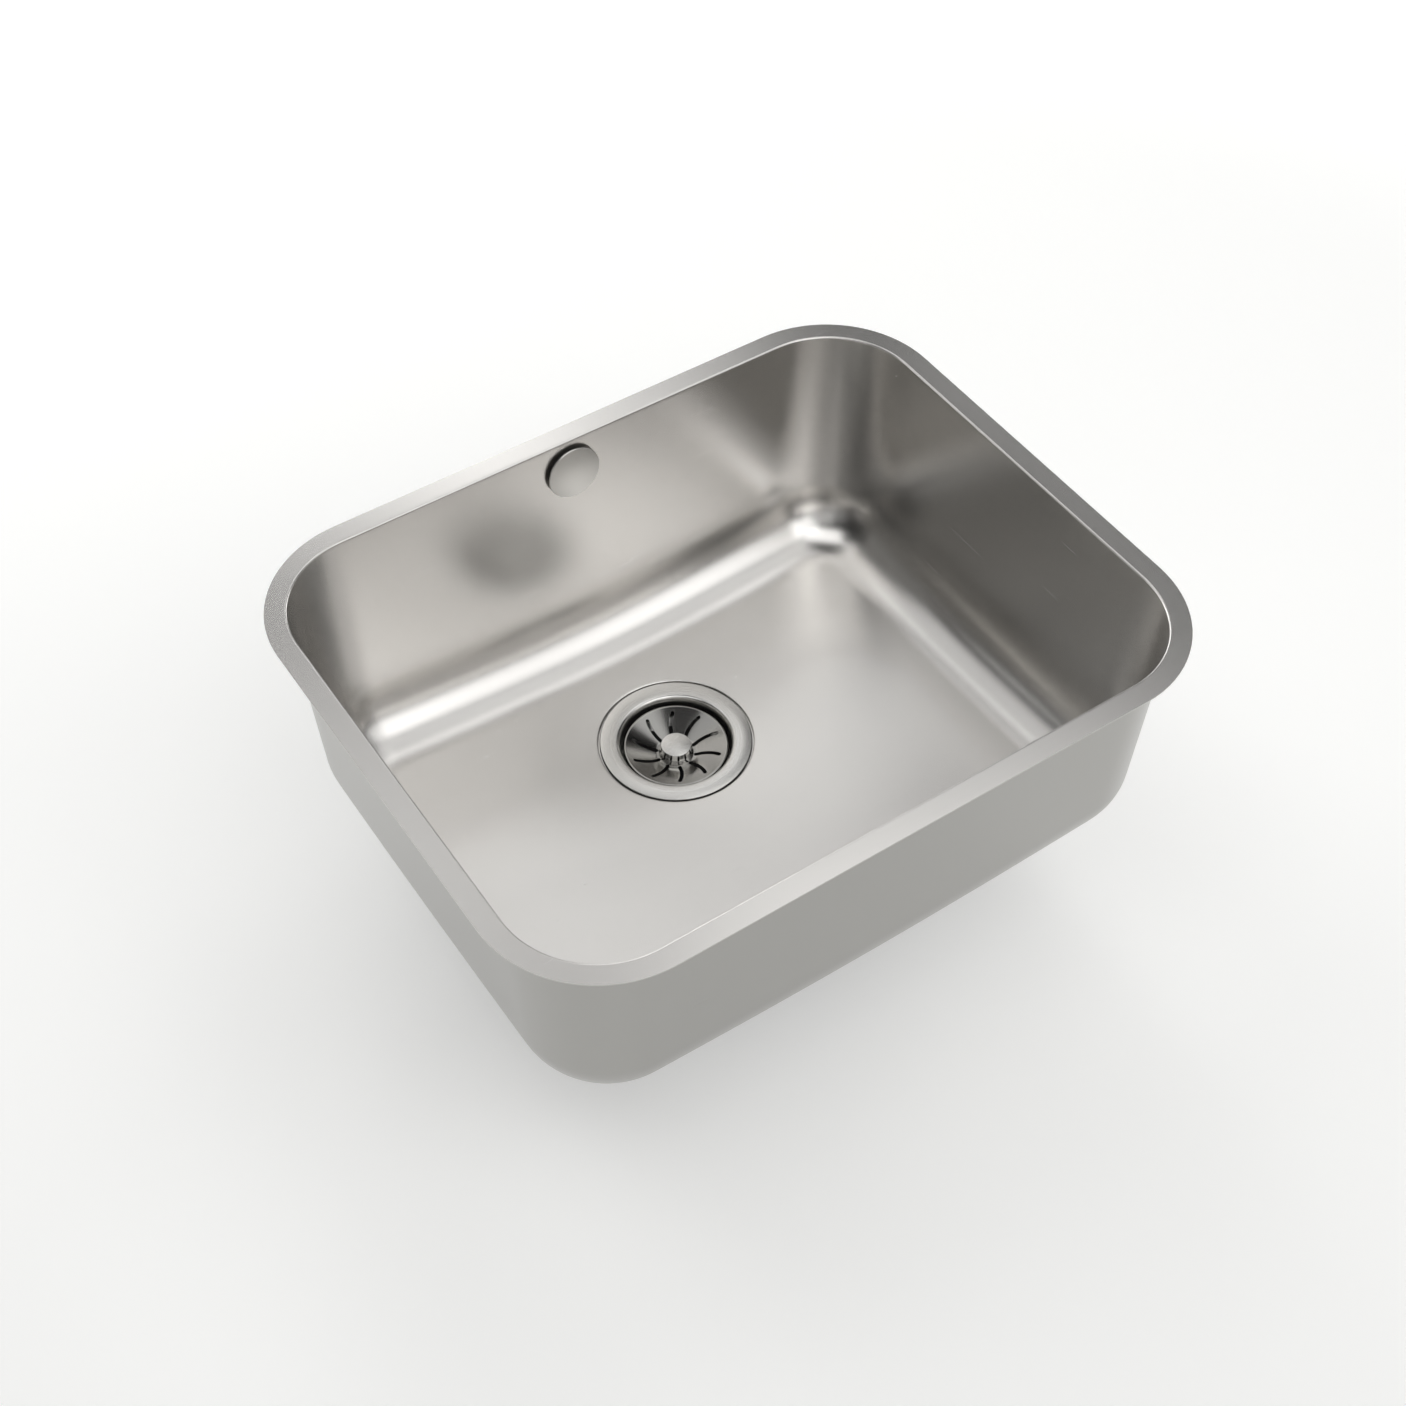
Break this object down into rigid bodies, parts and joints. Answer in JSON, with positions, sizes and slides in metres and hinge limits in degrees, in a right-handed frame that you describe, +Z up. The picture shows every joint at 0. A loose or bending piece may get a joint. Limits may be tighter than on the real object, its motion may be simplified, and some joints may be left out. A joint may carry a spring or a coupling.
{
  "type": "undermount kitchen sink",
  "caption": "Pressed steel undermount sink bowl with a flat rim, a lift-out basket strainer in its sloping floor, and an overflow piped to the waste body.",
  "frame": {"origin": "centre of the rim's top face", "axes": "+X along the long side, +Y towards the wall with the overflow, +Z up"},
  "size_m": [0.532, 0.4475, 0.298],
  "materials": {
    "pressed_steel": "satin stainless sheet",
    "turned_steel": "fine circular brushing",
    "dish_steel": "polished pressed stainless",
    "knob_steel": "turned stainless, brushed top",
    "cap_steel": "brushed stainless disc",
    "screw_steel": "turned stainless",
    "insert_brass": "plain turned brass",
    "waste_plastic": "moulded black polypropylene",
    "hose_plastic": "grey corrugated polyethylene",
    "face_plastic": "moulded black plastic",
    "light_plastic": "white acetal",
    "seal_rubber": "matt black rubber",
    "pad_rubber": "dark grey bitumen pad"
  },
  "bodies": {
    "sink": {"bowl": "pressed_steel", "base_pad": "pad_rubber", "strainer_flange": "turned_steel", "flange_seal": "seal_rubber", "clamp_screw": "screw_steel", "clamp_insert": "insert_brass", "waste_body": "waste_plastic", "body_gasket": "seal_rubber", "branch_nut": "waste_plastic", "branch_seal": "seal_rubber", "overflow_hose": "hose_plastic", "elbow_nut": "waste_plastic", "elbow_seal": "seal_rubber", "overflow_elbow": "waste_plastic", "overflow_gasket": "seal_rubber", "overflow_face": "face_plastic", "overflow_screw": "screw_steel"},
    "basket": {"basket": "dish_steel", "basket_knob": "knob_steel", "basket_stem": "screw_steel", "basket_stopper": "seal_rubber", "stem_catch": "light_plastic"},
    "overflow_cap": {"overflow_cap": "cap_steel"}
  },
  "joints": [
    {"name": "basket_lift", "type": "slide", "parent": "sink", "child": "basket", "axis": [0, 0, 1], "range_m": [0, 0.25]},
    {"name": "cap_pull", "type": "slide", "parent": "sink", "child": "overflow_cap", "axis": [0, -0.9988, 0.048], "range_m": [0, 0.03]}
  ]
}
